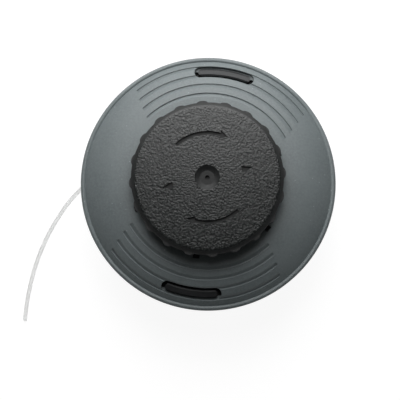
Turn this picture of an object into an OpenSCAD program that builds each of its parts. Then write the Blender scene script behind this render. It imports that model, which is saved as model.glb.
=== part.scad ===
// Bump-feed trimmer head, lying on its gearbox side with the bump knob up.
// Origin: centre of the hub's back face. +Z points out of the knob. Millimetres.
// The cover's windows and latches lie on the Y axis, the line eyelets on the X axis.

/* [Cover] */
// Diameter of the cover over its rim bead
cover_d = 130; // [122:1:140]
// Height of the crown above the middle of the rim bead
dome_h = 8.5; // [6.5:0.5:10]
// Wall of the cover
cover_t = 2.4; // [2:0.1:2.8]
// Radius of the rim bead's round section
bead_r = 1.3; // [1:0.1:1.6]
// How far the rim bead stands out of the skirt
bead_proud = 0.5; // [0.3:0.1:0.8]
// Depth of the skirt below the middle of the rim bead
skirt_h = 4.2; // [3:0.2:6]
// Wall of the skirt
skirt_t = 1.8; // [1.4:0.1:2.2]
// Height of the collar round the opening, above the crown
collar_h = 4.4; // [2:0.2:4.8]
// Wall of the collar
collar_t = 2.4; // [1.8:0.1:3]

/* [Grip grooves] */
// Number of grooves in a group
groove_count = 4; // [3:1:5]
// Distance from the outermost groove's wall to the cover's edge
groove_inset = 5; // [4.4:0.1:6]
// Distance from one groove to the next
groove_pitch = 4.93; // [4.4:0.01:5.4]
// Angle that the outermost groove covers
groove_span = 93; // [80:1:110]
// Angle that each groove further in covers more
groove_spread = 4; // [0:0.5:6]
// Depth of a groove
groove_depth = 0.65; // [0.4:0.05:0.9]
// Width of a groove
groove_w = 2.1; // [1.6:0.1:2.4]

/* [Latches] */
// Distance from the middle of a latch window to the cover's edge
window_inset = 8.2; // [7.6:0.2:9]
// Width of a window
window_w = 5.9; // [5.6:0.1:6.2]
// Angle that a window covers, round ends included
window_span = 31.2; // [26:0.2:34]
// Clearance round a latch tongue in its window
latch_gap = 1.05; // [0.8:0.05:1.3]
// How far the latch tongue's head stays below the cover's surface
latch_sink = 0.9; // [0.6:0.1:1.4]
// Thickness of the latch tongue's stem
latch_stem_t = 1.8; // [1.4:0.1:2]
// Chamfer along both edges of the latch tongue's head
latch_edge = 0.75; // [0.5:0.05:1]
// Angle left free at each end of a window
latch_end_angle = 2; // [1.6:0.1:3]
// Overlap of the latch's barb on its ledge
latch_bite = 1.1; // [0.8:0.1:1.2]

/* [Housing] */
// How far the cover reaches out past the housing's wall
rim_reach = 15; // [14:0.2:16.2]
// Thickness of the housing's wall
wall_t = 2.4; // [2:0.1:2.8]
// Thickness of the housing's back plate
back_t = 3; // [2.4:0.1:4]
// Radius of the corner between the back plate and the wall
back_corner_r = 8; // [6:0.5:10]
// How far the hub stands out of the back plate
hub_proud = 5; // [4:0.5:8]
// Radius of the hub
hub_r = 23; // [21:0.5:26]
// Thickness of the flange that carries the cover
flange_t = 2.2; // [1.8:0.1:2.8]
// Number of ribs on the back plate
back_ribs = 12; // [8:2:16]
// Number of gussets under the flange
gussets = 16; // [8:4:20]
// Height of the gussets below the flange
gusset_h = 12; // [8:1:14]
// Thickness of the ribs and gussets
rib_t = 1.8; // [1.4:0.1:2.4]

/* [Arbor insert] */
// Radius of the threaded bore at its crests
thread_r = 4.35; // [4:0.05:5]
// Depth of the threaded bore
thread_depth = 20; // [14:1:22]
// Width across flats of the insert's hexagon
hex_af = 20; // [18:0.5:22]
// Height of the insert's hexagon
hex_h = 6.2; // [5:0.2:6.6]
// Radius of the journal that the spool turns on
journal_r = 8; // [7.4:0.1:8.4]

/* [Eyelets] */
// Radius of an eyelet's bore
eyelet_bore_r = 1.75; // [1.5:0.05:2]
// Radius of an eyelet's barrel
eyelet_r = 4.2; // [3.8:0.1:4.6]
// Radius of an eyelet's flange
eyelet_flange_r = 5.4; // [5:0.1:5.8]
// Thickness of an eyelet's flange
eyelet_flange_t = 1.5; // [1.2:0.1:2]
// Radius of the rounded mouths of the bore
eyelet_mouth_r = 1.4; // [1:0.1:1.6]

/* [Spool] */
// Clearance between the spool's flanges and the housing's wall
spool_gap = 1.6; // [1.2:0.1:3.6]
// Radius of the spool's core
core_r = 24; // [23.6:0.2:26]
// Thickness of the spool's two outer flanges
spool_flange_t = 2; // [1.6:0.1:2.6]
// Thickness that each half adds to the middle flange
spool_middle_t = 1.2; // [1:0.1:1.8]
// Height of a line chamber
chamber_h = 6.8; // [6:0.2:9]
// Length of the spool's bearing on the journal
bearing_len = 8; // [7:0.5:9]
// Radius of the pocket that holds the spring
pocket_r = 15.8; // [15:0.1:16]
// How far the wound line stays inside the edge of the spool's flanges
coil_margin = 5; // [3:0.5:14]

/* [Line] */
// Diameter of the cutting line
line_d = 2; // [1.6:0.1:2.4]

/* [Indexing] */
// Number of ratchet teeth
index_count = 8; // [6:1:10]
// Height of the ratchet teeth and of the stop dogs
tooth_h = 1.4; // [1:0.1:1.8]
// Radial width of the ratchet teeth
tooth_w = 7; // [5:0.5:8]
// Length of a tooth's ramp
tooth_len = 9; // [6:0.5:10]
// Thickness of the index ring's plate
ring_t = 1.6; // [1.4:0.1:2.2]
// Number of snap tabs that hold the index ring in the cover
ring_tabs = 6; // [4:1:8]
// Radial width of a snap tab's slot
tab_slot_d = 3; // [2.4:0.2:3.6]
// Width of a snap tab's slot, along the ring
tab_slot_w = 3.4; // [2.6:0.2:4]
// Travel of the knob when it is bumped
bump_travel = 5; // [3:0.5:6]

/* [Spring] */
// Diameter of the spring's wire
wire_d = 1.8; // [1.4:0.1:2]
// Radius of the spring, to the middle of the wire
spring_r = 12.6; // [12:0.1:13]
// Number of turns, the two closed end turns included
spring_turns = 5; // [4:0.5:5.5]
// Thickness of the steel washers at both ends of the spring
washer_t = 1.1; // [0.8:0.1:1.4]

/* [Bump knob] */
// Radius of the knob between its ribs
knob_r = 38; // [36.5:0.5:39]
// Height of the knob's ribs above the surface between them
knob_rib_h = 1.2; // [0.8:0.1:1.6]
// Width of a rib at its foot
knob_rib_w = 5.4; // [4.4:0.2:6.4]
// Number of ribs round the knob
knob_ribs = 20; // [16:2:24]
// Height of the knob from the lower edge of its skirt to the middle of its face
knob_h = 8.4; // [7.6:0.2:10]
// Radius of the rounded shoulder
shoulder_r = 4.2; // [3:0.2:5]
// Rise of the face from its edge to its middle
face_crown = 0.7; // [0.4:0.1:1]
// Wall of the knob
knob_t = 2.6; // [2:0.1:3]
// Radius of the knob's hub, which reaches through the cover
knob_hub_r = 25.4; // [25.2:0.1:26]
// Direction of the line-threading markers on the knob
marker_angle = 21.5; // [0:0.5:90]
// Depth of the engraved arrows and markers
engrave_depth = 0.5; // [0.3:0.1:0.8]

/* [Screws] */
// Number of screws that join the knob to the spool
screw_count = 3; // [2:1:3]
// Radius of a screw's shank
screw_r = 1.9; // [1.5:0.1:2]
// Length of a screw's shank
screw_len = 30; // [24:1:32]

/* [Hidden] */
$fn = 96;

// Clearances: between parts that fit, that run, that are pressed or glued, round the
// knob's hub, under the knob at full travel, and past a cut
fit_gap = 0.3;
run_gap = 0.08;
snug_gap = 0.05;
knob_gap = 0.5;
bump_gap = 0.4;
over = 1;
// Round slot ends are this much narrower than their slot, so that no two walls are tangent
end_ease = 0.02;

// Angles of the two windows and of the two eyelets
window_angles = [90, 270];
eyelet_angles = [0, 180];

// Heights, from the floor up
seat_drop = 2.4;
floor_z = hub_proud + back_t;
spool_low_z = floor_z + 2 * tooth_h + fit_gap;
spool_z = spool_low_z + bump_travel;
spool_half_h = spool_flange_t + chamber_h + spool_middle_t;
middle_z = spool_z + spool_half_h;
spool_top_z = middle_z + spool_half_h;
ring_z = spool_top_z + 2 * tooth_h + fit_gap;
cover_under_z = ring_z + ring_t;
crown_z = cover_under_z + cover_t;
rim_z = crown_z - dome_h;
seat_z = rim_z - seat_drop;
skirt_z = rim_z - skirt_h;
knob_z = crown_z + bump_travel + bump_gap;
knob_top_z = knob_z + knob_h;
ceiling_z = knob_top_z - face_crown - knob_t;
eyelet_z = middle_z - bump_travel / 2;

// Cover
cover_r = cover_d / 2;
bead_centre_r = cover_r - bead_r;
skirt_out_r = cover_r - bead_proud;
skirt_in_r = skirt_out_r - skirt_t;
opening_r = knob_hub_r + knob_gap;
collar_r = opening_r + collar_t;
rib_step = 30;
cover_ribs = [for (a = [0:rib_step:360 - rib_step]) if (a != 90 && a != 270) a];

// Index ring and ratchet teeth, outwards from the collar, and the flat crown over them
ring_lap = 1.5;
tooth_gap = 1.2;
tab_gap = 0.1;
ring_edge = 0.4;
ring_in_r = collar_r - ring_lap;
tooth_in_r = collar_r + tooth_gap;
tooth_out_r = tooth_in_r + tooth_w;
tab_in_r = tooth_out_r + tab_gap;
tab_out_r = tab_in_r + tab_slot_d;
crown_r = tab_out_r + ring_edge;
tooth_root = 0.6;
tab_sink = 0.4;
tab_angle = 30;

// Dome that falls from the crown to the rim bead
dome_r = ((bead_centre_r - crown_r) ^ 2 + dome_h ^ 2) / (2 * dome_h);
dome_z = crown_z - dome_r;

// Grip grooves
groove_out_r = cover_r - groove_inset;
groove_lip = 0.02;
groove_floor_w = 0.35;
groove_rise = 0.1;
groove_lean = 0.25;

// Latches
window_r = cover_r - window_inset;
window_in_r = window_r - window_w / 2;
window_out_r = window_r + window_w / 2;
tongue_in_r = window_in_r + latch_gap;
tongue_out_r = window_out_r - latch_gap;
tongue_span = window_span - 2 * latch_end_angle;
ledge_r = tongue_out_r - latch_bite;
ledge_drop = 8;
ledge_z = crown_z - ledge_drop;
seat_rib_t = 3;

// Housing
wall_r = cover_r - rim_reach;
inner_r = wall_r - wall_t;
flange_r = skirt_in_r - fit_gap;
inner_corner_r = back_corner_r - back_t;
back_rib_z = 1.2;
back_rib_run = 1.6;
back_rib_r = wall_r - back_corner_r + back_rib_run;
gusset_root = 1;
gusset_foot = 0.6;
gusset_tip_h = 1.2;
gusset_edge = 1.5;
gusset_r = flange_r - gusset_edge;
hub_wall = 3.6;
hub_core_depth = 3;
hub_core_webs = 6;
insert_wall = 1.6;
dog_in_r = 34;
dog_out_r = 41;
dog_w = 4;
boss_edge = 0.8;
boss_r = eyelet_flange_r + boss_edge;
boss_proud = 0.1;
boss_root = 3;

// Arbor insert
insert_z = 0.3;
hex_r = hex_af / 2 / cos(30);
thread_top_z = insert_z + thread_depth;
bore_edge = 0.9;
journal_proud = 1.5;
journal_top_z = spool_top_z + journal_proud;
journal_edge = 0.8;
journal_wall = 2.6;
journal_web = 3;

// Eyelets, along their own axis from the spool outwards
eyelet_reach = 0.7;
eyelet_in_x = inner_r - eyelet_reach;
eyelet_seat_x = wall_r + boss_proud;
eyelet_out_x = eyelet_seat_x + eyelet_flange_t;

// Spring and its washers
pocket_z = spool_top_z - bearing_len;
thrust_z = pocket_z - fit_gap - washer_t;
spring_z = floor_z + washer_t;
spring_h = thrust_z - spring_z;
washer_in_gap = 0.4;
washer_out_gap = 0.6;
washer_in_r = journal_r + washer_in_gap;
washer_out_r = pocket_r - washer_out_gap;
spring_steps = 20;
wire_sides = 8;

// Spool and the wound line
spool_r = inner_r - spool_gap;
coil_r = spool_r - coil_margin;
coil_gap = 0.2;
bearing_wall = 2.6;
bearing_web = 2;
bearing_core_gap = 0.6;
bearing_core_r = pocket_r + bearing_core_gap;

// Knob
crest_r = knob_r + knob_rib_h;
rib_r = ((knob_rib_w / 2) ^ 2 + knob_rib_h ^ 2) / (2 * knob_rib_h);
crest_ease = 0.2;
envelope_r = crest_r + crest_ease;
face_r = envelope_r - shoulder_r;
face_rings = 7;
shoulder_z = knob_top_z - face_crown - shoulder_r;
knob_root = 0.5;
knob_core_t = 1.5;
knob_webs = 12;
web_gap = 1.2;
web_root = 0.6;
web_sink = 0.8;
dimple_r = 6;
dimple_floor_r = 3.6;
dimple_depth = 1.3;
dimple_foot_w = 0.8;
dimple_foot_h = 0.3;
dimple_lip = 0.3;
dimple_hole_r = 1.2;
dimple_hole_depth = 0.9;

// Arrows and markers, from the direction of the markers
arrow_r = 22.4;
arrow_w = 1.9;
arrow_tail = 120.2;
arrow_neck = 60.7;
arrow_tip = 50.4;
arrow_head_w = 4.6;
arrow_sweep = 0.4;
marker_base_r = 17.5;
marker_tip_r = 23.3;
marker_w = 3.8;

// Screws
screw_circle_r = (pocket_r + core_r) / 2;
screw_head_r = 3.2;
screw_head_h = 2;
screw_head_sink = 0.4;
screw_seat_z = spool_z + screw_head_h + screw_head_sink;
screw_socket_r = 1.6;
screw_socket_depth = 1.3;
screw_point_h = 1.5;
screw_point_r = 0.6;
screw_hole_end = 3;
screw_wall = 2.6;
screw_turn = 30;
screw_angle = marker_angle + screw_turn;
knob_core_r = screw_circle_r - screw_r - screw_wall;

// Line anchors in the spool's core
anchor_r = 1.6;
anchor_depth = 5.2;
line_slot_in_r = 30;
line_slot_w = 3;

// Route of the free line end, from inside the left eyelet to its cut end on the floor
line_route = [
    [-47.4, 0.4, 23.6], [-49.5, 0.4, 23.6], [-51.7, -0.2, 23.6], [-53.9, -1.3, 23.5],
    [-56.1, -2.7, 23.4], [-60.1, -5.9, 22.8], [-63.7, -9.6, 21.9], [-67.0, -13.6, 20.8],
    [-70.0, -17.9, 19.4], [-72.7, -22.4, 17.8], [-75.1, -27.0, 16.0], [-77.3, -31.7, 14.2],
    [-79.3, -36.5, 12.4], [-81.0, -41.4, 10.5], [-82.5, -46.4, 8.7], [-83.7, -51.4, 6.9],
    [-84.7, -56.5, 5.3], [-85.3, -61.7, 3.9], [-85.8, -66.9, 2.8], [-86.0, -72.1, 1.9],
    [-85.9, -77.3, 1.4], [-85.7, -82.5, 1.2]
];
line_sides = 8;

// Height of the cover's surface at a radius outside the crown
function dome_height(r) = dome_z + sqrt(dome_r ^ 2 - (r - crown_r) ^ 2);
function dome_slope(r) = asin((r - crown_r) / dome_r);

// Faces of a tube of n rings with k sides, closed at both ends
function tube_faces(n, k) = concat(
    [[for (j = [0:k - 1]) j]],
    [
        for (i = [0:n - 2], j = [0:k - 1])
            [i * k + j, (i + 1) * k + j, (i + 1) * k + (j + 1) % k, i * k + (j + 1) % k]
    ],
    [[for (j = [k - 1:-1:0]) (n - 1) * k + j]]
);

function unit(v) = v / norm(v);
function route_direction(p, i) = unit(p[min(i + 1, len(p) - 1)] - p[max(i - 1, 0)]);

// Points of a tube of radius r swept along the route p
function swept_points(p, r, k) = [
    for (i = [0:len(p) - 1])
        let (
            t = route_direction(p, i),
            side = unit(cross(t, [0, 0, 1])),
            rise = cross(side, t)
        )
        for (j = [0:k - 1])
            p[i] + r * (cos(360 * (j + 0.5) / k) * side + sin(360 * (j + 0.5) / k) * rise)
];

// Height of the spring's wire after a number of turns, with closed end turns
function wire_height(turn) =
    let (
        pitch = (spring_h - 3 * wire_d) / (spring_turns - 2),
        closed = min(turn, 1) + max(turn - (spring_turns - 1), 0),
        open = min(max(turn - 1, 0), spring_turns - 2)
    )
    spring_z + wire_d / 2 + wire_d * closed + pitch * open;

function spring_points() = [
    for (i = [0:spring_turns * spring_steps])
        let (turn = i / spring_steps, a = 360 * turn)
        for (j = [0:wire_sides - 1])
            let (
                b = 360 * j / wire_sides,
                r = spring_r + wire_d / 2 * cos(b)
            )
            [r * cos(a), r * sin(a), wire_height(turn) + wire_d / 2 * sin(b)]
];

// Flat arc band round the origin with round ends, centred on the X axis
module arc_slot(r, w, span) {
    half = span / 2 - asin(w / 2 / r);
    reach = 2 * r;
    intersection() {
        difference() {
            circle(r = r + w / 2);
            circle(r = r - w / 2);
        }
        polygon([
            [0, 0], reach * [cos(half), -sin(half)],
            [reach / cos(half), 0], reach * [cos(half), sin(half)]
        ]);
    }
    for (side = [-1, 1])
        rotate(side * half)
            translate([r, 0])
                circle(d = w - end_ease);
}

// Rectangle from one corner to the opposite one
module area(low, high) {
    translate(low)
        square(high - low);
}

module at_angles(angles) {
    for (a = angles)
        rotate(a)
            children();
}

// Section under the cover's surface, or under its inner face when sunk by the wall
module dome_area(sink) {
    intersection() {
        translate([crown_r, dome_z])
            circle(r = dome_r - sink, $fn = 360);
        area([crown_r, skirt_z - over], [cover_r, crown_z + over]);
    }
    area([0, skirt_z - over], [crown_r, crown_z - sink]);
}

module cover_profile() {
    difference() {
        union() {
            intersection() {
                dome_area(0);
                area([opening_r, skirt_z], [skirt_out_r, crown_z + over]);
            }
            translate([bead_centre_r, rim_z])
                circle(r = bead_r);
            area([opening_r, cover_under_z], [collar_r, crown_z + collar_h]);
        }
        intersection() {
            dome_area(cover_t);
            area([0, skirt_z - over], [skirt_in_r, crown_z]);
        }
    }
    // Rib that stands on the housing's flange and gives the latches their ledge
    intersection() {
        dome_area(cover_t / 2);
        area([ledge_r, seat_z], [ledge_r + seat_rib_t, crown_z]);
    }
}

// One grip groove: a gentle inner slope and a steep outer wall
module grip_groove(r, span) {
    intersection() {
        rotate_extrude()
            translate([r, dome_height(r)])
                rotate(-dome_slope(r))
                    polygon([
                        [-groove_w, over], [-groove_w, groove_lip],
                        [-groove_floor_w, -groove_depth], [0, groove_rise - groove_depth],
                        [groove_lean, over]
                    ]);
        linear_extrude(height = crown_z + over)
            arc_slot(r - groove_w / 2 + groove_rise, groove_w + groove_rise, span);
    }
}

// Opening of a window: wide above the ledge
module window_cut() {
    translate([0, 0, ledge_z])
        linear_extrude(height = crown_z)
            arc_slot(window_r, window_w, window_span);
}

module cover() {
    color([0.45, 0.48, 0.49])
        difference() {
            union() {
                rotate_extrude()
                    cover_profile();
                at_angles(cover_ribs)
                    translate([0, rib_t / 2, 0])
                        rotate([90, 0, 0])
                            linear_extrude(height = rib_t)
                                difference() {
                                    dome_area(cover_t / 2);
                                    area([0, 0], [inner_r + over, crown_z]);
                                    area([0, 0], [cover_r, seat_z + over]);
                                    area([ledge_r + over, 0], [cover_r, crown_z]);
                                }
            }
            for (i = [0:groove_count - 1])
                at_angles(window_angles)
                    grip_groove(groove_out_r - i * groove_pitch, groove_span + i * groove_spread);
            at_angles(window_angles)
                window_cut();
            for (i = [0:ring_tabs - 1])
                rotate(tab_angle + i * 360 / ring_tabs)
                    translate([tab_in_r, -tab_slot_w / 2, cover_under_z - over])
                        cube([tab_out_r - tab_in_r, tab_slot_w, cover_t + 2 * over]);
        }
}

// Radial bar with one ramped side: upright face on the X axis, ramp towards -Y
module ramp_tooth() {
    translate([tooth_out_r, 0, 0])
        rotate([90, 0, -90])
            linear_extrude(height = tooth_out_r - tooth_in_r)
                polygon([
                    [0, -tooth_root], [0, tooth_h], [tooth_len, 0], [tooth_len, -tooth_root]
                ]);
}

module index_ring() {
    color([0.12, 0.12, 0.13]) {
        difference() {
            translate([0, 0, ring_z])
                cylinder(r = crown_r, h = ring_t);
            translate([0, 0, ring_z - over])
                cylinder(r = ring_in_r, h = ring_t + 2 * over);
        }
        for (i = [0:index_count - 1])
            rotate(i * 360 / index_count)
                translate([0, 0, ring_z])
                    rotate([180, 0, 0])
                        ramp_tooth();
        for (i = [0:ring_tabs - 1])
            rotate(tab_angle + i * 360 / ring_tabs)
                translate([tab_in_r + fit_gap, -tab_slot_w / 2 + fit_gap, ring_z + ring_t / 2])
                    cube([
                        tab_out_r - tab_in_r - 2 * fit_gap,
                        tab_slot_w - 2 * fit_gap,
                        crown_z - tab_sink - ring_z - ring_t / 2
                    ]);
    }
}

module housing_profile() {
    corner_z = hub_proud + back_corner_r;
    difference() {
        union() {
            area([0, 0], [hub_r, floor_z]);
            area([0, hub_proud], [wall_r - back_corner_r, corner_z]);
            area([0, corner_z], [wall_r, seat_z]);
            translate([wall_r - back_corner_r, corner_z])
                circle(r = back_corner_r);
            area([inner_r, seat_z - flange_t], [flange_r, seat_z]);
        }
        area([0, floor_z], [inner_r - inner_corner_r, seat_z + over]);
        area([0, floor_z + inner_corner_r], [inner_r, seat_z + over]);
        translate([inner_r - inner_corner_r, floor_z + inner_corner_r])
            circle(r = inner_corner_r);
    }
}

// Section of a latch tongue: a stem and a barbed head that follows the dome
module tongue_profile() {
    stem_r = tongue_in_r + latch_stem_t;
    head_z = ledge_z + fit_gap;
    edge_in_r = tongue_in_r + latch_edge;
    edge_out_r = tongue_out_r - latch_edge;
    polygon([
        [tongue_in_r, seat_z - flange_t / 2], [stem_r, seat_z - flange_t / 2],
        [stem_r, head_z], [tongue_out_r, head_z],
        [tongue_out_r, dome_height(tongue_out_r) - latch_sink - latch_edge],
        [edge_out_r, dome_height(edge_out_r) - latch_sink],
        [edge_in_r, dome_height(edge_in_r) - latch_sink],
        [tongue_in_r, dome_height(tongue_in_r) - latch_sink - latch_edge]
    ]);
}

module latch_tongue() {
    intersection() {
        rotate_extrude()
            tongue_profile();
        linear_extrude(height = crown_z)
            arc_slot(
                (tongue_in_r + tongue_out_r) / 2,
                tongue_out_r - tongue_in_r + snug_gap,
                tongue_span
            );
    }
}

module housing() {
    color([0.13, 0.13, 0.14])
        difference() {
            union() {
                rotate_extrude()
                    housing_profile();
                at_angles(window_angles)
                    latch_tongue();
                // Ribs on the back plate
                for (i = [0:back_ribs - 1])
                    rotate((i + 0.5) * 360 / back_ribs)
                        translate([0, rib_t / 2, 0])
                            rotate([90, 0, 0])
                                linear_extrude(height = rib_t)
                                    polygon([
                                        [hub_r - over, back_rib_z],
                                        [back_rib_r, hub_proud + fit_gap],
                                        [back_rib_r, floor_z - over],
                                        [hub_r - over, floor_z - over]
                                    ]);
                // Gussets under the flange
                for (i = [0:gussets - 1])
                    rotate((i + 0.5) * 360 / gussets)
                        translate([0, rib_t / 2, 0])
                            rotate([90, 0, 0])
                                linear_extrude(height = rib_t)
                                    polygon([
                                        [wall_r - gusset_root, seat_z - flange_t - gusset_h],
                                        [wall_r + gusset_foot, seat_z - flange_t - gusset_h],
                                        [gusset_r, seat_z - flange_t - gusset_tip_h],
                                        [gusset_r, seat_z - flange_t / 2],
                                        [wall_r - gusset_root, seat_z - flange_t / 2]
                                    ]);
                // Stop dogs on the floor, half a tooth away from the spool's at rest
                for (i = [0:index_count - 1])
                    rotate((i + 0.5) * 360 / index_count)
                        translate([dog_in_r, -dog_w / 2, floor_z - over])
                            cube([dog_out_r - dog_in_r, dog_w, tooth_h + over]);
                // Flat bosses for the eyelets
                at_angles(eyelet_angles)
                    difference() {
                        translate([inner_r - boss_root, 0, eyelet_z])
                            rotate([0, 90, 0])
                                cylinder(r = boss_r, h = eyelet_seat_x - inner_r + boss_root);
                        cylinder(r = inner_r, h = seat_z);
                    }
            }
            // Seat of the arbor insert
            translate([0, 0, -over])
                cylinder(r = hex_r, h = insert_z + hex_h + over, $fn = 6);
            cylinder(r = journal_r + snug_gap, h = floor_z + over);
            // Cored ring in the hub, with webs left between its pockets
            difference() {
                translate([0, 0, -over])
                    cylinder(r = hub_r - hub_wall, h = hub_core_depth + over);
                cylinder(r = hex_r + insert_wall, h = 2 * floor_z, center = true);
                for (i = [0:hub_core_webs - 1])
                    rotate((i + 0.5) * 360 / hub_core_webs)
                        translate([0, -rib_t / 2, -2 * over])
                            cube([hub_r, rib_t, floor_z]);
            }
            at_angles(eyelet_angles)
                translate([inner_r - boss_root - over, 0, eyelet_z])
                    rotate([0, 90, 0])
                        cylinder(r = eyelet_r + snug_gap, h = boss_root + wall_t + 3 * over);
        }
}

module arbor_insert() {
    color([0.75, 0.76, 0.78])
        difference() {
            union() {
                translate([0, 0, insert_z])
                    cylinder(r = hex_r, h = hex_h, $fn = 6);
                translate([0, 0, insert_z + hex_h / 2])
                    cylinder(r = journal_r, h = journal_top_z - journal_edge - insert_z - hex_h / 2);
                translate([0, 0, journal_top_z - journal_edge])
                    cylinder(r1 = journal_r, r2 = journal_r - journal_edge, h = journal_edge);
            }
            translate([0, 0, insert_z - over])
                cylinder(r = thread_r, h = thread_depth + over);
            translate([0, 0, insert_z])
                cylinder(r1 = thread_r + bore_edge, r2 = thread_r, h = bore_edge);
            translate([0, 0, thread_top_z + journal_web])
                cylinder(r = journal_r - journal_wall, h = journal_top_z);
        }
}

// What a rounded mouth takes off the end of the bore at x, which opens towards side
module mouth_cut(x, side) {
    round_r = eyelet_bore_r + eyelet_mouth_r;
    difference() {
        area([0, x - eyelet_mouth_r], [round_r, x + eyelet_mouth_r]);
        translate([round_r, x - side * eyelet_mouth_r])
            circle(r = eyelet_mouth_r);
    }
}

// Eyelet along the X axis, with rounded mouths at both ends of its bore
module eyelet() {
    translate([0, 0, eyelet_z])
        rotate([0, 90, 0])
            rotate_extrude()
                difference() {
                    union() {
                        area([eyelet_bore_r, eyelet_in_x], [eyelet_r, eyelet_out_x]);
                        area([eyelet_bore_r, eyelet_seat_x], [eyelet_flange_r, eyelet_out_x]);
                    }
                    mouth_cut(eyelet_in_x, -1);
                    mouth_cut(eyelet_out_x, 1);
                }
}

module eyelet_left() {
    color([0.8, 0.8, 0.82])
        rotate(180)
            eyelet();
}

module eyelet_right() {
    color([0.8, 0.8, 0.82])
        eyelet();
}

module washer(z) {
    color([0.7, 0.71, 0.73])
        difference() {
            translate([0, 0, z])
                cylinder(r = washer_out_r, h = washer_t);
            translate([0, 0, z - over])
                cylinder(r = washer_in_r, h = washer_t + 2 * over);
        }
}

module spring_seat() {
    washer(floor_z);
}

module thrust_washer() {
    washer(thrust_z);
}

module spring() {
    color([0.62, 0.63, 0.65])
        polyhedron(
            points = spring_points(),
            faces = tube_faces(spring_turns * spring_steps + 1, wire_sides),
            convexity = 8
        );
}

// Radial holes for the line's inner ends, open to the middle flange
module line_anchors() {
    for (a = [0, 180])
        rotate(marker_angle + a) {
            translate([core_r - anchor_depth, 0, middle_z])
                rotate([0, 90, 0])
                    cylinder(r = anchor_r, h = anchor_depth + over);
            translate([line_slot_in_r, -line_slot_w / 2, middle_z - spool_middle_t - over])
                cube([spool_r, line_slot_w, 2 * (spool_middle_t + over)]);
        }
}

module at_screws(z) {
    for (i = [0:screw_count - 1])
        rotate(screw_angle + i * 360 / screw_count)
            translate([screw_circle_r, 0, z])
                children();
}

module spool_lower() {
    color([0.2, 0.2, 0.21])
        difference() {
            union() {
                translate([0, 0, spool_z])
                    cylinder(r = core_r, h = spool_half_h);
                translate([0, 0, spool_z])
                    cylinder(r = spool_r, h = spool_flange_t);
                translate([0, 0, middle_z - spool_middle_t])
                    cylinder(r = spool_r, h = spool_middle_t);
                for (i = [0:index_count - 1])
                    rotate(i * 360 / index_count)
                        translate([dog_in_r, -dog_w / 2, spool_z - tooth_h])
                            cube([dog_out_r - dog_in_r, dog_w, tooth_h + spool_flange_t / 2]);
            }
            translate([0, 0, spool_z - over])
                cylinder(r = pocket_r, h = spool_half_h + 2 * over);
            line_anchors();
            at_screws(spool_z - over)
                cylinder(r = screw_r + snug_gap, h = spool_half_h + 2 * over);
            at_screws(spool_z - over)
                cylinder(r = screw_head_r + fit_gap, h = screw_seat_z - spool_z + over);
        }
}

module spool_upper() {
    color([0.22, 0.22, 0.23])
        difference() {
            union() {
                translate([0, 0, middle_z])
                    cylinder(r = core_r, h = spool_half_h);
                translate([0, 0, middle_z])
                    cylinder(r = spool_r, h = spool_middle_t);
                translate([0, 0, spool_top_z - spool_flange_t])
                    cylinder(r = spool_r, h = spool_flange_t);
                for (i = [0:index_count - 1])
                    rotate(i * 360 / index_count)
                        translate([0, 0, spool_top_z])
                            ramp_tooth();
            }
            translate([0, 0, middle_z - over])
                cylinder(r = pocket_r, h = pocket_z - middle_z + over);
            translate([0, 0, middle_z])
                cylinder(r = journal_r + run_gap, h = spool_half_h + over);
            // Cored ring round the bearing
            translate([0, 0, pocket_z + bearing_web])
                difference() {
                    cylinder(r = bearing_core_r, h = bearing_len);
                    cylinder(r = journal_r + bearing_wall, h = bearing_len);
                }
            line_anchors();
            at_screws(middle_z - over)
                cylinder(r = screw_r + snug_gap, h = spool_half_h + 2 * over);
        }
}

// Wound line in one chamber, with its outer turns showing
module line_coil(z) {
    low = z + coil_gap;
    high = z + chamber_h - coil_gap;
    turns = floor((high - low) / line_d);
    pitch = (high - low) / turns;
    color([0.86, 0.87, 0.86])
        rotate_extrude() {
            area([core_r + coil_gap, low], [coil_r - line_d / 2, high]);
            for (i = [0:turns - 1])
                translate([coil_r - line_d / 2, low + (i + 0.5) * pitch])
                    circle(d = line_d, $fn = 32);
        }
}

module line_coil_lower() {
    line_coil(spool_z + spool_flange_t);
}

module line_coil_upper() {
    line_coil(middle_z + spool_middle_t);
}

module stack_screws() {
    color([0.7, 0.7, 0.72])
        at_screws(screw_seat_z)
            difference() {
                union() {
                    translate([0, 0, -screw_head_h / 2])
                        cylinder(r = screw_r, h = screw_len - screw_point_h + screw_head_h / 2);
                    translate([0, 0, screw_len - screw_point_h])
                        cylinder(r1 = screw_r, r2 = screw_point_r, h = screw_point_h);
                    translate([0, 0, -screw_head_h])
                        cylinder(r = screw_head_r, h = screw_head_h);
                }
                translate([0, 0, -screw_head_h - over])
                    cylinder(r = screw_socket_r, h = over + screw_socket_depth, $fn = 6);
            }
}

// Outline of the knob, seen from above: a circle with round ribs
module knob_outline() {
    circle(r = knob_r);
    for (i = [0:knob_ribs - 1])
        rotate((i + 0.5) * 360 / knob_ribs)
            translate([crest_r - rib_r, 0])
                circle(r = rib_r, $fn = 48);
}

// Height of the knob's face at a radius
function face_height(r) = knob_top_z - face_crown * (r / face_r) ^ 2;

// Section of the knob: flat side, round shoulder and slightly crowned face
module knob_profile() {
    area([0, knob_z], [envelope_r, shoulder_z]);
    translate([face_r, shoulder_z])
        circle(r = shoulder_r);
    polygon([
        [0, knob_z], [face_r, knob_z],
        for (i = [face_rings:-1:0]) [face_r * i / face_rings, face_height(face_r * i / face_rings)]
    ]);
}

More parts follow.
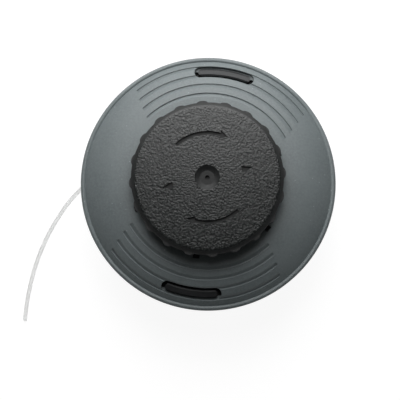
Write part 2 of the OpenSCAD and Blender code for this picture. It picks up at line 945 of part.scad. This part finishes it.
// Clockwise arrow, from the direction of the markers
module arrow() {
    middle = (arrow_tail + arrow_neck) / 2;
    reach = 2 * arrow_r;
    intersection() {
        difference() {
            circle(r = arrow_r + arrow_w / 2);
            circle(r = arrow_r - arrow_w / 2);
        }
        polygon([
            [0, 0], reach * [cos(arrow_tail), sin(arrow_tail)],
            reach * [cos(middle), sin(middle)], reach * [cos(arrow_neck), sin(arrow_neck)]
        ]);
    }
    polygon([
        (arrow_r - arrow_head_w / 2) * [cos(arrow_neck), sin(arrow_neck)],
        (arrow_r + arrow_head_w / 2) * [cos(arrow_neck), sin(arrow_neck)],
        (arrow_r + arrow_sweep) * [cos(arrow_tip), sin(arrow_tip)]
    ]);
}

// Triangle that points outwards along the direction of the markers
module marker() {
    polygon([
        [marker_base_r, -marker_w / 2], [marker_tip_r, 0], [marker_base_r, marker_w / 2]
    ]);
}

module engraving(r) {
    translate([0, 0, face_height(r) - engrave_depth])
        linear_extrude(height = knob_h)
            children();
}

module dimple() {
    floor_height = knob_top_z - dimple_depth;
    hole_height = floor_height - dimple_hole_depth;
    rotate_extrude()
        polygon([
            [0, hole_height], [dimple_hole_r, hole_height],
            [dimple_hole_r, floor_height], [dimple_floor_r, floor_height],
            [dimple_floor_r + dimple_foot_w, floor_height + dimple_foot_h],
            [dimple_r - dimple_lip, knob_top_z - dimple_lip],
            [dimple_r + dimple_lip, knob_top_z],
            [dimple_r + dimple_lip, knob_top_z + over], [0, knob_top_z + over]
        ]);
}

module bump_knob() {
    color([0.2, 0.21, 0.21])
        rotate(marker_angle)
            difference() {
                union() {
                    difference() {
                        intersection() {
                            translate([0, 0, knob_z])
                                linear_extrude(height = knob_h + over)
                                    knob_outline();
                            rotate_extrude()
                                knob_profile();
                        }
                        translate([0, 0, knob_z - over])
                            cylinder(r = knob_r - knob_t, h = ceiling_z - knob_z + over);
                    }
                    // Hub that reaches through the cover to the spool
                    translate([0, 0, spool_top_z])
                        cylinder(r = knob_hub_r, h = ceiling_z - spool_top_z + knob_root);
                    // Webs under the face
                    for (i = [0:knob_webs - 1])
                        rotate((i + 0.5) * 360 / knob_webs)
                            translate([collar_r + web_gap, -rib_t / 2, knob_z + web_sink])
                                cube([
                                    knob_r - knob_t - collar_r - web_gap + web_root,
                                    rib_t,
                                    ceiling_z - knob_z
                                ]);
                }
                translate([0, 0, spool_top_z - over])
                    cylinder(r = knob_core_r, h = ceiling_z - knob_core_t - spool_top_z + over);
                rotate(-marker_angle)
                    at_screws(spool_top_z - over)
                        cylinder(
                            r = screw_r + snug_gap,
                            h = screw_seat_z + screw_len - spool_top_z + screw_hole_end
                        );
                for (a = [0, 180])
                    rotate(a) {
                        engraving(arrow_r)
                            arrow();
                        engraving(marker_base_r)
                            marker();
                    }
                dimple();
            }
}

module line_end() {
    color([0.9, 0.91, 0.9])
        polyhedron(
            points = swept_points(line_route, line_d / 2, line_sides),
            faces = tube_faces(len(line_route), line_sides),
            convexity = 6
        );
}

housing();
arbor_insert();
cover();
index_ring();
eyelet_left();
eyelet_right();
spring_seat();
spring();
thrust_washer();
spool_lower();
spool_upper();
line_coil_lower();
line_coil_upper();
stack_screws();
bump_knob();
line_end();
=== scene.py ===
import math

import bpy
from mathutils import Matrix, Vector


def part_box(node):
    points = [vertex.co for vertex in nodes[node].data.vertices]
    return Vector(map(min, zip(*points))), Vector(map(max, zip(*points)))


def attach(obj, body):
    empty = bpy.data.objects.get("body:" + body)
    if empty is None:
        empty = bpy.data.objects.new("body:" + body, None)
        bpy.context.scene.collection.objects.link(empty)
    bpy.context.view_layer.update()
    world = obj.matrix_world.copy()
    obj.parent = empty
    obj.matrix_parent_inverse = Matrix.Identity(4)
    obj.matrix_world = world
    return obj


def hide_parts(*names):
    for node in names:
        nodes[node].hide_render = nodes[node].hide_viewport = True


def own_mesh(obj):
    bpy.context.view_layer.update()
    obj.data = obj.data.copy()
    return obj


# Looks of the bump-feed trimmer head: camera, cutting line, spring, knob, materials and light.
# Lengths are in metres unless a comment says otherwise, in the frame of the CAD model.
# Compass angles are degrees from +X, turning towards +Y.

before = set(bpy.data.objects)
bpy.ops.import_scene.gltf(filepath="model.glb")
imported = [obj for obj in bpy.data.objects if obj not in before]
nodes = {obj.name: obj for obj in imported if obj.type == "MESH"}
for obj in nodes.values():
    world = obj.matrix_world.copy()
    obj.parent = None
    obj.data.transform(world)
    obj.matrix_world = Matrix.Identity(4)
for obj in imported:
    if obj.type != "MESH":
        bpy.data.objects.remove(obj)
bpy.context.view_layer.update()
MM = 0.001

# Camera: it looks almost straight down, leaning a little to the lower edge of the picture
LENS_MM = 140.0
SENSOR_MM = 36.0
IMAGE_PX = 400
RIM_CENTRE = Vector((0, 0, 34.7 * MM))
RIM_PIXEL = (208.0, 183.1)
CAMERA_DISTANCE = 0.793
CAMERA_TILT = 7.5
CAMERA_LEAN = 285.7
PICTURE_UP = 98.7

# Cutting line, from inside the left eyelet to its cut end on the floor, in millimetres
LINE_DIAMETER = 2.0 * MM
LINE_ROUTE = [
    (-47.4, 0.4, 23.6), (-49.5, 0.4, 23.6), (-51.7, -0.2, 23.6), (-53.9, -1.3, 23.5),
    (-56.1, -2.7, 23.4), (-60.1, -5.9, 22.8), (-63.7, -9.6, 21.9), (-67.0, -13.6, 20.8),
    (-70.0, -17.9, 19.4), (-72.7, -22.4, 17.8), (-75.1, -27.0, 16.0), (-77.3, -31.7, 14.2),
    (-79.3, -36.5, 12.4), (-81.0, -41.4, 10.5), (-82.5, -46.4, 8.7), (-83.7, -51.4, 6.9),
    (-84.7, -56.5, 5.3), (-85.3, -61.7, 3.9), (-85.8, -66.9, 2.8), (-86.0, -72.1, 1.9),
    (-85.9, -77.3, 1.4), (-85.7, -82.5, 1.2),
]

# Bump spring: its wire, and the steps that a turn and the wire's section are drawn in
SPRING_WIRE = 1.8 * MM
SPRING_TURNS = 5
SPRING_STEPS = 48
WIRE_SIDES = 16

# The knob's face, up to its rounded shoulder, and its rise from there to the middle
KNOB_FACE_RADIUS = 35.2 * MM
KNOB_FACE_CROWN = 0.7 * MM

# Floors of the knob's engravings and of the dimple's hole: their radius, their depth below the
# knob's top in the CAD model, and how much deeper they are cut here
ENGRAVED_FROM = 15.0 * MM
ENGRAVED_TO = 26.0 * MM
ENGRAVED_LEAST = 0.6 * MM
ENGRAVED_MOST = 0.85 * MM
HOLE_RADIUS = 1.3 * MM
HOLE_LEAST = 1.9 * MM
HOLE_MOST = 2.4 * MM
DEEPER = 0.8 * MM

# Light and floor: the strength of the dim even light, the band above the horizon that mirrors see
# as white (as heights of a unit direction), the floor's half width, and its greys and glow
AMBIENT = 0.06
HORIZON_LOW = 0.01
HORIZON_HIGH = 0.1
FLOOR_HALF = 3.0
FLOOR_GREY = 0.8
FLOOR_SEEN_GREY = 0.2
FLOOR_SEEN_GLOW = 0.92

# Lamps: compass angle, tilt from straight up, distance, size and watts
SOFTBOX = (PICTURE_UP + 2, 50, 0.3, (0.4, 0.3), 1.3)
STRIP_LIGHT = (PICTURE_UP + 2, 20.5, 0.6, (0.25, 0.25), 0.68)


def compass(angle, tilt=90.0):
    """Unit vector towards a compass angle, tilted from straight up by tilt degrees."""
    a, t = math.radians(angle), math.radians(tilt)
    return Vector((math.sin(t) * math.cos(a), math.sin(t) * math.sin(a), math.cos(t)))


def make_camera():
    """The photograph's camera, turned so that the rim's centre lands on its pixel."""
    place = RIM_CENTRE + CAMERA_DISTANCE * compass(CAMERA_LEAN, CAMERA_TILT)
    ray = (RIM_CENTRE - place).normalized()
    pixels_per_unit = LENS_MM / SENSOR_MM * IMAGE_PX
    across = (RIM_PIXEL[0] - IMAGE_PX / 2) / pixels_per_unit
    above = (IMAGE_PX / 2 - RIM_PIXEL[1]) / pixels_per_unit
    forward = ray
    for _ in range(20):
        up = compass(PICTURE_UP)
        up = (up - forward * up.dot(forward)).normalized()
        right = forward.cross(up)
        stretch = math.sqrt(1 + across ** 2 + above ** 2)
        forward = (ray * stretch - across * right - above * up).normalized()
    data = bpy.data.cameras.new("photo_camera")
    data.lens = LENS_MM
    data.sensor_width = SENSOR_MM
    data.clip_start = 0.01
    camera = bpy.data.objects.new("photo_camera", data)
    bpy.context.scene.collection.objects.link(camera)
    turn = Matrix((right, up, -forward)).transposed()
    camera.matrix_world = Matrix.Translation(place) @ turn.to_4x4()
    bpy.context.scene.camera = camera


make_camera()


def make_line():
    """The free end of the cutting line, a round curve with a flat cut end."""
    data = bpy.data.curves.new("cutting_line", "CURVE")
    data.dimensions = "3D"
    data.bevel_depth = 1.0
    data.bevel_resolution = 6
    data.resolution_u = 6
    data.use_fill_caps = True
    spline = data.splines.new("BEZIER")
    spline.bezier_points.add(len(LINE_ROUTE) - 1)
    for point, place in zip(spline.bezier_points, LINE_ROUTE):
        point.co = Vector(place) * MM
        point.radius = LINE_DIAMETER / 2
        point.handle_left_type = "AUTO"
        point.handle_right_type = "AUTO"
    line = bpy.data.objects.new("cutting_line", data)
    bpy.context.scene.collection.objects.link(line)
    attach(line, "head_shell")
    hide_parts("line_end")
    return line


line = make_line()


def wire_height(turn, low, high):
    """Height of the spring's wire after a number of turns, with closed end turns."""
    pitch = (high - low - 3 * SPRING_WIRE) / (SPRING_TURNS - 2)
    closed = min(turn, 1) + max(turn - (SPRING_TURNS - 1), 0)
    free = min(max(turn - 1, 0), SPRING_TURNS - 2)
    return low + SPRING_WIRE / 2 + SPRING_WIRE * closed + pitch * free


def make_spring():
    """The bump spring, a round wire with closed end turns, as long as the CAD model's spring."""
    (_, _, low), (outer, _, high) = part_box("spring")
    middle = outer - SPRING_WIRE / 2
    rings = SPRING_TURNS * SPRING_STEPS + 1
    points = []
    for ring in range(rings):
        turn = ring / SPRING_STEPS
        around = math.tau * turn
        for side in range(WIRE_SIDES):
            across = math.tau * side / WIRE_SIDES
            radius = middle + SPRING_WIRE / 2 * math.cos(across)
            rise = SPRING_WIRE / 2 * math.sin(across)
            height = wire_height(turn, low, high) + rise
            points.append((radius * math.cos(around), radius * math.sin(around), height))
    faces = [tuple(range(WIRE_SIDES))]
    for ring in range(rings - 1):
        for side in range(WIRE_SIDES):
            here, beside = ring * WIRE_SIDES + side, ring * WIRE_SIDES + (side + 1) % WIRE_SIDES
            faces.append((here, here + WIRE_SIDES, beside + WIRE_SIDES, beside))
    faces.append(tuple(reversed(range((rings - 1) * WIRE_SIDES, rings * WIRE_SIDES))))
    mesh = bpy.data.meshes.new("bump_spring")
    mesh.from_pydata(points, [], faces)
    for face in mesh.polygons:
        face.use_smooth = len(face.vertices) == 4
    piece = bpy.data.objects.new("bump_spring", mesh)
    bpy.context.scene.collection.objects.link(piece)
    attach(piece, "head_shell")
    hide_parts("spring")
    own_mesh(piece)
    return piece


spring = make_spring()


def make_knob():
    """The knob as the CAD model has it, with its engravings and the dimple's hole cut deeper."""
    cad = nodes["bump_knob"]
    mesh = cad.data.copy()
    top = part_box("bump_knob")[1][2]
    for point in mesh.vertices:
        out = math.hypot(point.co.x, point.co.y)
        below = top - point.co.z
        engraved = ENGRAVED_FROM < out < ENGRAVED_TO and ENGRAVED_LEAST < below < ENGRAVED_MOST
        hole = out < HOLE_RADIUS and HOLE_LEAST < below < HOLE_MOST
        if engraved or hole:
            point.co.z -= DEEPER
    piece = bpy.data.objects.new("ribbed_knob", mesh)
    bpy.context.scene.collection.objects.link(piece)
    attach(piece, "spool_and_knob")
    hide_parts("bump_knob")
    return piece


knob = make_knob()


class Surface:
    """A Principled material whose colour, roughness and bump are built from procedural nodes."""

    def __init__(self, name, metallic=0.0, specular=0.5):
        self.material = bpy.data.materials.new(name)
        self.material.use_nodes = True
        self.tree = self.material.node_tree
        self.shader = self.tree.nodes["Principled BSDF"]
        self.shader.inputs["Metallic"].default_value = metallic
        self.shader.inputs["Specular IOR Level"].default_value = specular
        self.place = self.tree.nodes.new("ShaderNodeTexCoord").outputs["Object"]
        self.normal = None

    def node(self, kind, inputs=(), **settings):
        """A new node, with settings set and inputs given as values or sockets."""
        made = self.tree.nodes.new("ShaderNode" + kind)
        for key, value in settings.items():
            setattr(made, key, value)
        for key, value in dict(inputs).items():
            if isinstance(value, bpy.types.NodeSocket):
                self.tree.links.new(value, made.inputs[key])
            else:
                made.inputs[key].default_value = value
        return made

    def stretched(self, factors):
        """The object's coordinates, scaled along X, Y and Z."""
        return self.node("Mapping", {"Vector": self.place, "Scale": factors}).outputs["Vector"]

    def noise(self, size, detail=2.0, place=None):
        """Noise from 0 to 1 whose features are about size metres wide."""
        return self.node("TexNoise", {
            "Vector": place or self.place, "Scale": 1 / size,
            "Detail": detail,
        }).outputs["Fac"]

    def cells(self, size):
        """Distance to the nearest of scattered points that are about size metres apart."""
        return self.node("TexVoronoi", {
            "Vector": self.place, "Scale": 1 / size,
        }).outputs["Distance"]

    def range(self, value, low, high, to_low=0.0, to_high=1.0):
        """Value from low to high, spread over to_low to to_high and clamped."""
        return self.node("MapRange", {
            "Value": value, "From Min": low, "From Max": high,
            "To Min": to_low, "To Max": to_high,
        }).outputs["Result"]

    def math(self, operation, a, b=0.0):
        return self.node("Math", {0: a, 1: b}, operation=operation).outputs[0]

    def blend(self, factor, low, high):
        """Colour low where factor is 0 and high where it is 1."""
        made = self.node("Mix", {"Factor": factor}, data_type="RGBA")
        for socket, value in ((made.inputs[6], low), (made.inputs[7], high)):
            if isinstance(value, bpy.types.NodeSocket):
                self.tree.links.new(value, socket)
            else:
                socket.default_value = (*value, 1)
        return made.outputs[2]

    def color(self, value):
        self.tree.links.new(value, self.shader.inputs["Base Color"])

    def roughness(self, value):
        self.tree.links.new(value, self.shader.inputs["Roughness"])

    def bump(self, height, depth):
        """Adds relief of that depth in metres on top of the relief so far."""
        inputs = {"Height": height, "Distance": depth, "Strength": 1.0}
        if self.normal:
            inputs["Normal"] = self.normal
        self.normal = self.node("Bump", inputs).outputs["Normal"]
        self.tree.links.new(self.normal, self.shader.inputs["Normal"])

    def height(self):
        """Height above the floor, with the head at rest."""
        return self.node("SeparateXYZ", {0: self.place}).outputs["Z"]

    def radius(self):
        """Distance from the head's axis."""
        flat = self.node("VectorMath", {0: self.place, 1: (1, 1, 0)}, operation="MULTIPLY")
        made = self.node("VectorMath", {0: flat.outputs[0]}, operation="LENGTH")
        return made.outputs["Value"]


def cover_plastic():
    s = Surface("cover_plastic", specular=0.6)
    mottle = s.noise(14 * MM, detail=3)
    grain = s.noise(1.1 * MM, detail=3)
    base = s.blend(s.range(mottle, 0.3, 0.7), (0.126, 0.149, 0.155), (0.147, 0.172, 0.177))
    fine = s.blend(s.range(grain, 0.35, 0.7), base, (0.165, 0.19, 0.194))
    specks = s.range(s.cells(5 * MM), 0.03, 0.07, 1.0, 0.0)
    s.color(s.blend(s.math("MULTIPLY", specks, 0.35), fine, (0.5, 0.52, 0.52)))
    s.roughness(s.range(grain, 0.3, 0.7, 0.42, 0.58))
    s.bump(grain, 0.05 * MM)
    return s.material


def knob_plastic():
    """Grained on the face, and grainless on the side, in the dimple and in the engravings. The
    grainless parts are coloured darker than the face's average: painted shade, so that the
    engravings read as dark lines. The grain's raised tips are coloured lighter: painted glints.
    """
    s = Surface("knob_plastic", specular=0.45)
    knob_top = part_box("bump_knob")[1][2]
    share = s.math("DIVIDE", s.radius(), KNOB_FACE_RADIUS)
    fall = s.math("MULTIPLY", s.math("MULTIPLY", share, share), KNOB_FACE_CROWN)
    below_top = s.math("SUBTRACT", knob_top, s.height())
    depth = s.math("SUBTRACT", below_top, fall)
    face = s.range(depth, 0.05 * MM, 0.25 * MM, 1.0, 0.0)
    grain = s.noise(0.95 * MM, detail=2.0)
    coarse = s.noise(6 * MM)
    base = s.blend(s.range(coarse, 0.3, 0.7), (0.004, 0.005, 0.005), (0.006, 0.007, 0.007))
    # Painted shade: the grainless side, dimple and engravings get a darker colour than the
    # grained face, so that the engravings read as dark lines.
    smooth_painted_shade = (0.009, 0.01, 0.01)
    # Painted glints: the grain's raised tips are coloured lighter; the darker base keeps the
    # plastic's own random tone.
    grain_and_glints = s.blend(s.range(grain, 0.42, 0.68), base, (0.03, 0.033, 0.032))
    s.color(s.blend(face, smooth_painted_shade, grain_and_glints))
    duller = s.range(face, 0.0, 1.0, 0.35, 0.0)
    s.roughness(s.math("ADD", s.range(grain, 0.35, 0.65, 0.27, 0.2), duller))
    s.bump(s.math("MULTIPLY", grain, face), 0.26 * MM)
    return s.material


def black_plastic(name, tint, depth):
    s = Surface(name, specular=0.4)
    grain = s.noise(0.6 * MM, detail=3)
    mottle = s.noise(9 * MM, detail=2)
    lighter = tuple(c * 1.5 for c in tint)
    s.color(s.blend(s.range(mottle, 0.3, 0.7), tint, lighter))
    s.roughness(s.range(grain, 0.3, 0.7, 0.36, 0.55))
    s.bump(grain, depth)
    return s.material


def nylon_line():
    s = Surface("line_nylon", specular=0.4)
    s.shader.inputs["Transmission Weight"].default_value = 0.85
    s.shader.inputs["Subsurface Weight"].default_value = 0.35
    s.shader.inputs["Subsurface Radius"].default_value = (0.6, 0.6, 0.6)
    s.shader.inputs["Subsurface Scale"].default_value = 1.2 * MM
    drawn = s.noise(1.5 * MM, detail=2)
    s.color(s.blend(drawn, (0.9, 0.91, 0.9), (0.96, 0.965, 0.955)))
    s.roughness(s.range(drawn, 0.3, 0.7, 0.28, 0.4))
    s.bump(drawn, 0.02 * MM)
    return s.material


def wound_line():
    s = Surface("wound_line", specular=0.4)
    turns = s.noise(2.2 * MM, detail=2, place=s.stretched((1, 1, 0.2)))
    s.color(s.blend(turns, (0.66, 0.68, 0.67), (0.82, 0.83, 0.82)))
    s.roughness(s.range(turns, 0.3, 0.7, 0.3, 0.5))
    s.bump(turns, 0.1 * MM)
    return s.material


def metal(name, color, roughness, brush=(1, 1, 8)):
    s = Surface(name, metallic=1.0)
    marks = s.noise(0.5 * MM, detail=3, place=s.stretched(brush))
    stain = s.noise(6 * MM, detail=2)
    darker = tuple(c * 0.8 for c in color)
    s.color(s.blend(s.range(stain, 0.3, 0.7), darker, color))
    s.roughness(s.range(marks, 0.3, 0.7, roughness, roughness + 0.16))
    s.bump(marks, 0.02 * MM)
    return s.material


def paint(piece, material):
    """Gives a CAD node or a piece its material, in each of its slots."""
    if not piece.material_slots:
        piece.data.materials.append(material)
    for place in piece.material_slots:
        place.material = material


housing_black = black_plastic("housing_plastic", (0.018, 0.019, 0.02), 0.05 * MM)
spool_grey = black_plastic("spool_plastic", (0.03, 0.03, 0.033), 0.02 * MM)
index_black = black_plastic("index_plastic", (0.016, 0.016, 0.018), 0.015 * MM)
washer_steel = metal("washer_steel", (0.58, 0.58, 0.59), 0.3)
spring_steel = metal("spring_steel", (0.4, 0.41, 0.43), 0.34)
screw_steel = metal("screw_steel", (0.6, 0.6, 0.61), 0.28)
insert_steel = metal("insert_steel", (0.62, 0.62, 0.63), 0.26)
eyelet_metal = metal("eyelet_metal", (0.8, 0.8, 0.81), 0.2, brush=(8, 1, 1))
wound = wound_line()

MATERIALS = {
    "housing": housing_black,
    "arbor_insert": insert_steel,
    "cover": cover_plastic(),
    "index_ring": index_black,
    "eyelet_left": eyelet_metal,
    "eyelet_right": eyelet_metal,
    "spring_seat": washer_steel,
    "thrust_washer": washer_steel,
    "spool_lower": spool_grey,
    "spool_upper": spool_grey,
    "line_coil_lower": wound,
    "line_coil_upper": wound,
    "stack_screws": screw_steel,
}
for name, material in MATERIALS.items():
    paint(nodes[name], material)
paint(line, nylon_line())
paint(knob, knob_plastic())
paint(nodes["bump_knob"], knob.active_material)
paint(spring, spring_steel)
paint(nodes["spring"], spring_steel)


def make_floor():
    """A pale floor that the camera and mirrors see as white, with the head's soft shadow."""
    mesh = bpy.data.meshes.new("floor")
    half = FLOOR_HALF
    corners = [(-half, -half, 0), (half, -half, 0), (half, half, 0), (-half, half, 0)]
    mesh.from_pydata(corners, [], [(0, 1, 2, 3)])
    floor = bpy.data.objects.new("floor", mesh)
    bpy.context.scene.collection.objects.link(floor)
    material = bpy.data.materials.new("floor_white")
    material.use_nodes = True
    tree = material.node_tree
    tree.nodes.clear()
    plain = tree.nodes.new("ShaderNodeBsdfDiffuse")
    plain.inputs["Color"].default_value = (FLOOR_GREY, FLOOR_GREY, FLOOR_GREY, 1)
    pale = tree.nodes.new("ShaderNodeBsdfDiffuse")
    seen = FLOOR_SEEN_GREY
    pale.inputs["Color"].default_value = (seen, seen, seen, 1)
    glow = tree.nodes.new("ShaderNodeEmission")
    glow.inputs["Strength"].default_value = FLOOR_SEEN_GLOW
    added = tree.nodes.new("ShaderNodeAddShader")
    tree.links.new(pale.outputs[0], added.inputs[0])
    tree.links.new(glow.outputs[0], added.inputs[1])
    mix = tree.nodes.new("ShaderNodeMixShader")
    tree.links.new(seen_directly(tree), mix.inputs[0])
    tree.links.new(plain.outputs[0], mix.inputs[1])
    tree.links.new(added.outputs[0], mix.inputs[2])
    output = tree.nodes.new("ShaderNodeOutputMaterial")
    tree.links.new(mix.outputs[0], output.inputs["Surface"])
    mesh.materials.append(material)


def seen_directly(tree):
    """1 for rays from the camera, from a mirror and through glass, and otherwise 0."""
    path = tree.nodes.new("ShaderNodeLightPath")
    total = path.outputs["Is Camera Ray"]
    for other in ("Is Glossy Ray", "Is Transmission Ray"):
        most = tree.nodes.new("ShaderNodeMath")
        most.operation = "MAXIMUM"
        tree.links.new(total, most.inputs[0])
        tree.links.new(path.outputs[other], most.inputs[1])
        total = most.outputs[0]
    return total


def make_world():
    """A white horizon for the camera and for mirrors, and dim even light for everything else."""
    world = bpy.data.worlds.new("studio")
    bpy.context.scene.world = world
    world.use_nodes = True
    tree = world.node_tree
    background = tree.nodes["Background"]
    background.inputs["Color"].default_value = (1, 1, 1, 1)
    direction = tree.nodes.new("ShaderNodeTexCoord").outputs["Generated"]
    height = tree.nodes.new("ShaderNodeSeparateXYZ")
    tree.links.new(direction, height.inputs[0])
    horizon = tree.nodes.new("ShaderNodeMapRange")
    horizon.inputs["From Min"].default_value = HORIZON_LOW
    horizon.inputs["From Max"].default_value = HORIZON_HIGH
    horizon.inputs["To Min"].default_value = 1.0
    horizon.inputs["To Max"].default_value = AMBIENT
    tree.links.new(height.outputs["Z"], horizon.inputs["Value"])
    mirror = tree.nodes.new("ShaderNodeMix")
    mirror.inputs["A"].default_value = AMBIENT
    tree.links.new(seen_directly(tree), mirror.inputs["Factor"])
    tree.links.new(horizon.outputs[0], mirror.inputs["B"])
    camera = tree.nodes.new("ShaderNodeMix")
    camera.inputs["B"].default_value = 1.0
    path = tree.nodes.new("ShaderNodeLightPath")
    tree.links.new(path.outputs["Is Camera Ray"], camera.inputs["Factor"])
    tree.links.new(mirror.outputs[0], camera.inputs["A"])
    tree.links.new(camera.outputs[0], background.inputs["Strength"])


def make_light(name, angle, tilt, distance, size, power):
    """A soft square lamp that faces the head."""
    data = bpy.data.lights.new(name, "AREA")
    data.shape = "RECTANGLE"
    data.size, data.size_y = size
    data.energy = power
    lamp = bpy.data.objects.new(name, data)
    bpy.context.scene.collection.objects.link(lamp)
    lamp.location = RIM_CENTRE + distance * compass(angle, tilt)
    lamp.rotation_euler = (RIM_CENTRE - lamp.location).to_track_quat("-Z", "Y").to_euler()


make_floor()
make_world()
make_light("softbox", *SOFTBOX)
make_light("strip_light", *STRIP_LIGHT)

bpy.context.scene.view_settings.view_transform = "Standard"
